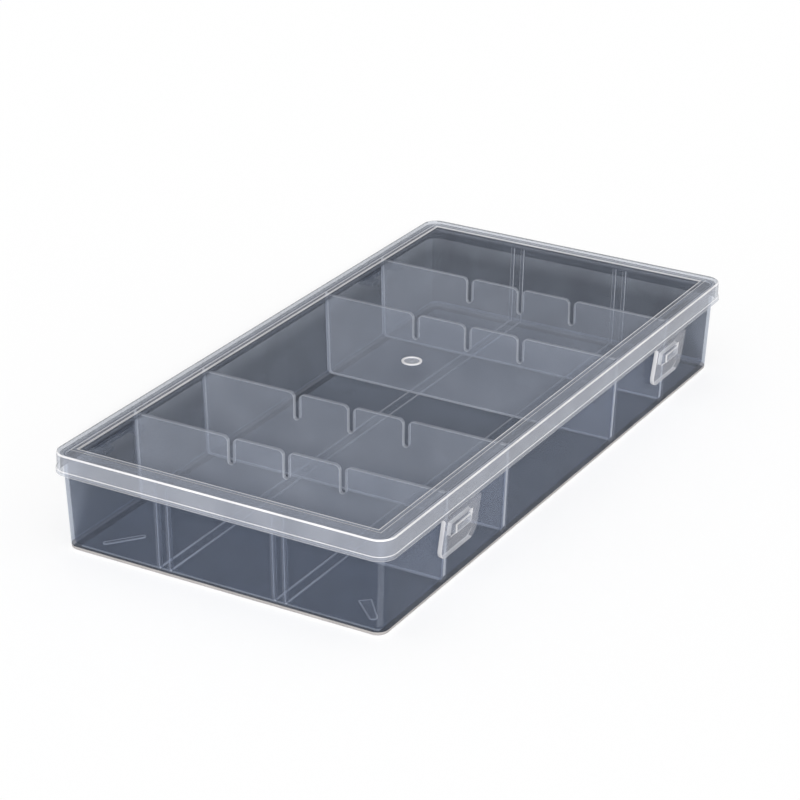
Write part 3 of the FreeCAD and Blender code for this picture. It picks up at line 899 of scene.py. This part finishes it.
    def ears(self) -> Piece:
        """Models the hinge ears: one tube with its web, copied to its places.

        Returns:
            The ears.
        """
        bench = HINGE.tube("ear", self.ear_length, self.ear_bore, self.ear_root, above=False)
        # The ear's rounded edges get a painted highlight
        bench.soften(HINGE.edge_round, Finish.RIM).outward()
        places = [(side * HINGE.x + shift * self.ear_shift, 0, 0) for side in SIDES for shift in SIDES]
        return spread(bench.done(), "tray_hinge_ears", places)

    def build(self) -> None:
        """Models the tray and lets it ride."""
        settle(self.moulding(), "tray", "tray_plastic", "tray")
        bar = self.mark(self.bar_size, self.bar_size[1], self.bar)
        marks = joined("tray_floor_marks", [bar, self.mark(self.tongue_size, self.tongue_tip, self.tongue)])
        for piece in (self.guides(), self.rails(), self.seats(), marks, self.catches(), self.ears()):
            settle(piece, "tray", "tray_plastic")


@dataclass
class Lid:
    """The lid: a bordered sheet with a sunken panel, a skirt with a bead, a gate ring and hinge lugs."""

    half_x: float = 180.0
    half_y: float = 89.6
    top: float = 50.0
    foot: float = 39.4
    sheet: float = 1.6
    corner: float = 8.6
    corner_steps: int = 10
    edge_round: float = 1.2
    edge_steps: int = 6
    painted_highlight_slope: Span = (0.3, 0.85)
    painted_shade_slope: Span = (0.1, 0.97)
    step_round: float = 0.4
    step_steps: int = 3
    step_line: float = 0.9
    second_gap: float = 1.6
    second_line: float = 0.5
    border: float = 10.0
    drop: float = 1.25
    bead: float = 2.4
    reach: float = 0.35
    bead_round: float = 0.245
    bead_steps: int = 2
    ring_radius: float = 5.2
    ring_sides: int = 48
    ring_width: float = 1.3
    ring_rise: float = 0.35
    ring_sink: float = 0.28
    ring_round: float = 0.1
    nub: float = 1.3
    nub_rise: float = 0.21
    lug_bore: float = 1.26
    lug_length: float = 19.4
    lug_root: float = 88.0
    lug_top: float = 40.6

    def moulding(self) -> Piece:
        """Models the shell: a block without a foot, its panel sunk, its bead drawn out, then thickened.

        Returns:
            The shell.
        """
        bench = Bench("lid_moulding").block((-self.half_x, -self.half_y, self.foot),
                                            (self.half_x, self.half_y, self.top))
        bench.dress(Finish.LID, Finish.SKIRT, Finish.EDGE, Finish.BORDER, Finish.STEP, Finish.DEEP,
                    Finish.SHADE)
        bench.pick(Pick.FACES, lambda face: face.normal.z > MOST)
        bench.inset(self.border - self.step_line - self.second_gap - self.second_line)
        bench.inset(self.second_line).inset(self.second_gap).inset(self.step_line)
        bench.extrude((0, 0, -self.drop))
        bench.pick(Pick.FACES, lambda face: face.normal.z < -MOST).delete()
        bench.pick(Pick.EDGES, lambda edge: rise(edge) > self.top - self.foot - TINY)
        bench.bevel(self.corner, self.corner_steps)
        bead_top = self.foot + self.bead
        bench.cut((0, 0, bead_top), Z_AXIS)
        bench.pick(Pick.FACES, lambda face: middle(face).z < bead_top).extrude((0, 0, 0))
        bench.resize((1 + self.reach / self.half_x, 1 + self.reach / self.half_y, 1))
        bench.pick(Pick.FACES, lambda face: middle(face).z < self.foot + TINY).delete()
        bench.outward().modifier("SOLIDIFY", thickness=self.sheet * MM, offset=-1.0, use_even_offset=True)
        self.paint_sheets(bench, bead_top)
        # The rounded edges: soft painted highlights on the panel's step and the foot, a bright one on the
        # bead
        for level, outside, radius, steps, finish in (
                (self.top, True, self.edge_round, self.edge_steps, None),
                (self.top, False, self.step_round, self.step_steps, Finish.STEP),
                (bead_top, True, self.bead_round, self.bead_steps, Finish.EDGE),
                (self.foot, True, self.reach, self.bead_steps, Finish.STEP)):
            bench.pick(Pick.EDGES, lambda edge: crest(edge, level, outside)).bevel(radius, steps, finish)
        self.paint_lines(bench, bead_top)
        return bench.done()

    def paint_sheets(self, bench: Bench, bead_top: float) -> None:
        """Paints the skirt, its painted shade and the border's painted sheen before the edges are rounded.

        Args:
            bench: the bench with the shell.
            bead_top: height of the bead's upper side.
        """
        bench.pick(Pick.FACES, lambda face: abs(face.normal.z) < HALF).paint(Finish.SKIRT)
        # Away from the light the skirt's inner faces get painted shade
        bench.pick(Pick.FACES, lambda face: abs(face.normal.z) < HALF and not looks_out(face)
                   and min(face.normal.x, face.normal.y) < -SOME and middle(face).z > self.foot)
        bench.paint(Finish.DEEP)
        # The border's top faces get a painted sheen
        bench.pick(Pick.FACES, lambda face: abs(face.normal.z) > MOST and middle(face).z > bead_top
                   and middle(face).xy.length > self.border).paint(Finish.BORDER)

    def far(self, face: bmesh.types.BMFace) -> bool:
        """Tells if a face lies at the outer edge of the back or of the far end."""
        return max(middle(face).x - self.half_x, middle(face).y - self.half_y) > -self.edge_round

    def paint_lines(self, bench: Bench, bead_top: float) -> None:
        """Paints the lines that the rounded edges draw: painted highlights and painted shade.

        Args:
            bench: the bench with the shell.
            bead_top: height of the bead's upper side.
        """
        # The bead's ledge gets a painted highlight
        bench.pick(Pick.FACES, lambda face: face.normal.z > MOST and abs(middle(face).z - bead_top) < TINY)
        bench.paint(Finish.EDGE)
        # Painted highlights in lines at the panel's edge and the rounded top edge, painted sheen between
        # them
        reach = self.step_line + self.second_gap + self.second_line
        for width, finish in ((reach, Finish.STEP), (reach - self.second_line, Finish.BORDER),
                              (self.step_line, Finish.EDGE)):
            line_x, line_y = self.half_x - self.border + width, self.half_y - self.border + width
            bench.pick(Pick.FACES, lambda face: face.normal.z > MOST and middle(face).z > self.top - TINY
                       and abs(middle(face).x) < line_x and abs(middle(face).y) < line_y).paint(finish)
        low, high = self.painted_highlight_slope
        bench.pick(Pick.FACES, lambda face: middle(face).z > self.top - self.edge_round and looks_out(face)
                   and low < face.normal.z < high).paint(Finish.EDGE)
        # On the far sides the edges get painted shade: dark lines where they turn the light away
        low, high = self.painted_shade_slope
        bench.pick(Pick.FACES, lambda face: self.far(face) and (
            low < face.normal.z < high and looks_out(face) or abs(middle(face).z - bead_top) < self.reach))
        bench.paint(Finish.SHADE)

    def ring(self) -> Piece:
        """Models the gate ring: a low disc with its middle sunk round a small nub.

        Returns:
            The ring.
        """
        panel = self.top - self.drop
        bench = Bench("lid_gate_ring").rod((0, 0, panel), self.ring_radius, 2 * self.ring_rise,
                                           self.ring_sides)
        # The ring is a painted highlight; its sunk middle and nub take the skirt's finish
        bench.dress(Finish.EDGE, Finish.SKIRT)
        bench.pick(Pick.FACES, lambda face: face.normal.z > MOST).inset(self.ring_width)
        bench.extrude((0, 0, -self.ring_sink)).paint(Finish.SKIRT)
        bench.inset(self.ring_radius - self.ring_width - self.nub).extrude((0, 0, self.nub_rise))
        return bench.soften(self.ring_round).done()

    def lugs(self) -> Piece:
        """Models the hinge lugs: one tube with its web up to the skirt, copied to both hinges.

        Returns:
            The lugs.
        """
        bench = HINGE.tube("lug", self.lug_length, self.lug_bore, self.lug_root, above=True)
        bench.pick(Pick.FACES, lambda face: face.normal.z > ALL
                   and middle(face).y < HINGE.y - self.lug_bore)
        bench.extrude((0, 0, HINGE.radius)).resize((1, 1, 0), (0, 0, self.lug_top))
        bench.pick(Pick.CORNERS, lambda corner: middle(corner).z > self.lug_top - TINY
                   and middle(corner).y > self.half_y)
        # The lug's rounded edges get a painted highlight
        bench.resize((1, 0, 1), (0, self.half_y, 0)).soften(HINGE.edge_round, Finish.RIM)
        return spread(bench.done(), "lid_hinge_lugs", [(side * HINGE.x, 0, 0) for side in SIDES])

    def build(self) -> None:
        """Models the lid and lets it ride."""
        settle(self.moulding(), "lid", "lid_plastic", "lid")
        for piece in (self.ring(), self.lugs()):
            settle(piece, "lid", "lid_plastic")


@dataclass
class Partition:
    """A cross partition: a plate with three notches, whose ends follow the tapered walls."""

    foot: float = 1.95
    half_foot: float = 83.16
    half_top: float = 84.80
    notch_pitch: float = 30.5
    notch_width: float = 2.8
    notch_depth: float = 14.0
    notch_round: float = 0.95
    notch_steps: int = 5
    mouth_round: float = 3.0
    mouth_steps: int = 6
    foot_round: float = 2.0
    foot_steps: int = 5
    edge_round: float = 0.25

    def plate(self) -> Piece:
        """Models one plate across the middle of the tray.

        Returns:
            The plate.
        """
        throat = PARTITION_TOP - self.notch_depth
        centres = [step * self.notch_pitch for step in (-1, 0, 1)]
        half = self.notch_width / 2
        bench = Bench("plate").panel((0, 0, (self.foot + PARTITION_TOP) / 2),
                                     (PARTITION_TOP - self.foot, 2 * self.half_top), FACE_X)
        for place in [centre + side * half for centre in centres for side in SIDES]:
            bench.cut((0, place, 0), Y_AXIS)
        bench.cut((0, 0, throat), Z_AXIS)
        bench.pick(Pick.FACES, lambda face: middle(face).z > throat
                   and min(abs(middle(face).y - centre) for centre in centres) < TINY).delete()
        bench.merge()
        bench.pick(Pick.CORNERS, lambda corner: middle(corner).z < self.foot + TINY)
        bench.resize((1, self.half_foot / self.half_top, 1))
        bench.pick(Pick.CORNERS, lambda corner: middle(corner).z > PARTITION_TOP - TINY
                   and abs(middle(corner).y) < self.notch_pitch + self.notch_width)
        bench.bevel(self.mouth_round, self.mouth_steps, corners=True)
        bench.pick(Pick.CORNERS, lambda corner: abs(middle(corner).z - throat) < TINY)
        bench.bevel(half * self.notch_round, self.notch_steps, corners=True)
        bench.pick(Pick.CORNERS, lambda corner: middle(corner).z < self.foot + TINY)
        bench.bevel(self.foot_round, self.foot_steps, corners=True)
        bench.pick(Pick.FACES).extrude((PARTITION_SHEET, 0, 0))
        bench.outward().move((-PARTITION_SHEET / 2, 0, 0))
        # The plate's rounded and cut edges get painted highlights, its top faces soft ones
        bench.dress(Finish.PLATE, Finish.RIM, Finish.STEP).soften(self.edge_round, Finish.RIM)
        bench.pick(Pick.FACES, lambda face: abs(face.normal.x) < HALF).paint(Finish.RIM)
        bench.pick(Pick.FACES, lambda face: face.normal.z > HALF).paint(Finish.STEP)
        return bench.done()

    def build(self) -> None:
        """Models the plate once and copies it to its four seats."""
        plate = self.plate()
        for count, place in enumerate(PARTITION_X, start=1):
            copy = copied(plate, f"partition_plate_{count}", (place, 0, 0))
            settle(copy, "tray", "partition_plastic", f"cross_partition_{count}")
        bpy.data.objects.remove(plate)


@dataclass
class Clasp:
    """A clasp: a flap that leans in to the wall, with a round head, rounded foot corners and a window."""

    axis_y: float = -89.65
    axis_z: float = 38.0
    head_width: float = 34.4
    head_round: float = 0.96
    head_steps: int = 5
    foot_width: float = 34.0
    drop: float = 20.6
    lean: float = 7.0
    sheet: float = 2.2
    corner: float = 6.0
    corner_steps: int = 8
    edge_round: float = 0.4
    window_width: float = 19.0
    window_top: float = -3.7
    window_foot: float = -10.1

    def flap(self) -> Piece:
        """Models the flap at the middle of the lid's edge, about its axis, then leans it.

        Returns:
            The flap.
        """
        half = self.sheet / 2
        bench = Bench("flap").panel((0, 0, (half - self.drop) / 2),
                                    (self.head_width, self.drop + half), FACE_Y)
        bench.pick(Pick.CORNERS, lambda corner: middle(corner).z < TINY - self.drop)
        bench.resize((self.foot_width / self.head_width, 1, 1))
        for level in (self.window_top, self.window_foot):
            bench.cut((0, 0, level), Z_AXIS)
        for side in SIDES:
            bench.cut((side * self.window_width / 2, 0, 0), X_AXIS)
        bench.pick(Pick.FACES, lambda face: abs(middle(face).x) < self.window_width / 4
                   and self.window_foot < middle(face).z < self.window_top).delete()
        bench.pick(Pick.CORNERS, lambda corner: middle(corner).z < TINY - self.drop
                   and abs(middle(corner).x) > self.window_width / 2 + TINY)
        bench.bevel(self.corner, self.corner_steps, corners=True)
        bench.pick(Pick.FACES).extrude((0, self.sheet, 0))
        bench.outward().move((0, -half, 0))
        bench.pick(Pick.EDGES, lambda edge: middle(edge).z > half - TINY
                   and abs(middle(edge).y) > half - TINY)
        bench.bevel(half * self.head_round, self.head_steps)
        # The flap's rounded edges, its sides and its foot get a soft painted highlight
        bench.dress(Finish.CLASP, Finish.STEP).soften(self.edge_round, Finish.STEP)
        bench.pick(Pick.FACES, lambda face: abs(face.normal.y) < HALF and face.normal.z < HALF)
        bench.paint(Finish.STEP)
        # The edge away from the light gets no painted highlight and stays clear
        bench.pick(Pick.FACES, lambda face: face.normal.x > SOME and middle(face).x > 0).paint(Finish.CLASP)
        return bench.place((0, self.axis_y, self.axis_z), (self.lean, 0, 0)).done()

    def build(self) -> None:
        """Models the flap once and copies it to both places."""
        flap = self.flap()
        for hand, side in zip(HANDS, SIDES):
            copy = copied(flap, f"clasp_flap_{hand}", (side * CLASP_X, 0, 0))
            settle(copy, f"clasp_{hand}", "lid_plastic", f"clasp_{hand}")
        bpy.data.objects.remove(flap)


@dataclass
class Studio:
    """The pale floor, the soft lamp and the camera at the photograph's angle.

    The floor's size and the lamp's distance are in metres, the lamp's strength in watts on a square metre,
    angles in degrees and all else in millimetres.
    """

    floor_colour: str = "FCFCFC"
    floor_size: float = 40.0
    floor_gap: float = 0.2
    world_strength: float = 0.30
    key_strength: float = 5.2
    key_bearing: float = 210.5
    key_height: float = 26.0
    key_spread: float = 12.0
    key_distance: float = 3.0
    eye: Point = (-1089.09, -609.17, 586.85)
    turn: Point = (65.8549, -0.5425, -60.2776)
    lens: float = 123.22
    sensor: float = 36.0
    clear_sheets: int = 48

    def floor(self) -> None:
        """Lays the floor under the box."""
        bpy.ops.object.select_all(action="DESELECT")
        bpy.ops.mesh.primitive_plane_add(size=self.floor_size, location=metres((0, 0, -self.floor_gap)))
        floor = bpy.context.object
        floor.name = "floor"
        # Matt paper: no gloss, so the box alone takes the light
        material = bpy.data.materials.new("matt pale floor")
        material.use_nodes = True
        shader = material.node_tree.nodes["Principled BSDF"]
        shader.inputs["Base Color"].default_value = linear(self.floor_colour)
        shader.inputs["Roughness"].default_value = 1.0
        shader.inputs["Specular IOR Level"].default_value = 0.0
        floor.data.materials.append(material)

    def lamp(self) -> None:
        """Sets a broad soft lamp, far off on the camera's side."""
        data = bpy.data.lights.new("key lamp", "SUN")
        data.energy, data.angle = self.key_strength, math.radians(self.key_spread)
        bearing, height = math.radians(self.key_bearing), math.radians(self.key_height)
        towards = Vector((math.cos(bearing) * math.cos(height), math.sin(bearing) * math.cos(height),
                          math.sin(height)))
        lamp = bpy.data.objects.new("key lamp", data)
        lamp.location = towards * self.key_distance
        lamp.rotation_euler = (-towards).to_track_quat("-Z", "Y").to_euler()
        bpy.context.scene.collection.objects.link(lamp)

    def camera(self) -> None:
        """Sets the camera."""
        data = bpy.data.cameras.new("camera")
        data.lens, data.sensor_width = self.lens, self.sensor
        camera = bpy.data.objects.new("camera", data)
        camera.location = metres(self.eye)
        camera.rotation_euler = radians(self.turn)
        bpy.context.scene.collection.objects.link(camera)
        bpy.context.scene.camera = camera

    def build(self) -> None:
        """Sets the stage."""
        scene = bpy.context.scene
        scene.view_settings.view_transform = "Standard"
        # A look along the box passes through many clear sheets
        scene.cycles.transparent_max_bounces = self.clear_sheets
        world = bpy.data.worlds.new("soft sky")
        world.use_nodes = True
        sky = world.node_tree.nodes["Background"]
        sky.inputs["Color"].default_value = linear("FFFFFF")
        sky.inputs["Strength"].default_value = self.world_strength
        scene.world = world
        self.floor()
        self.lamp()
        self.camera()


def main() -> None:
    """Builds the pieces in order, then the stage, and gives the hinge pins their finish."""
    logging.basicConfig(level=logging.INFO, format="%(message)s")
    for assembly in (Tray(), Partition(), Lid(), Clasp(), Studio()):
        assembly.build()
    for hand in HANDS:
        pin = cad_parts[f"hinge_pin_{hand}"]
        # The pins take the white finish of the painted edge highlights all over
        pin.data.materials.clear()
        pin.data.materials.append(Finish.RIM.made())
        LOG.info("hinge_pin_%s keeps its solid", hand)


if __name__ == "__main__":
    main()
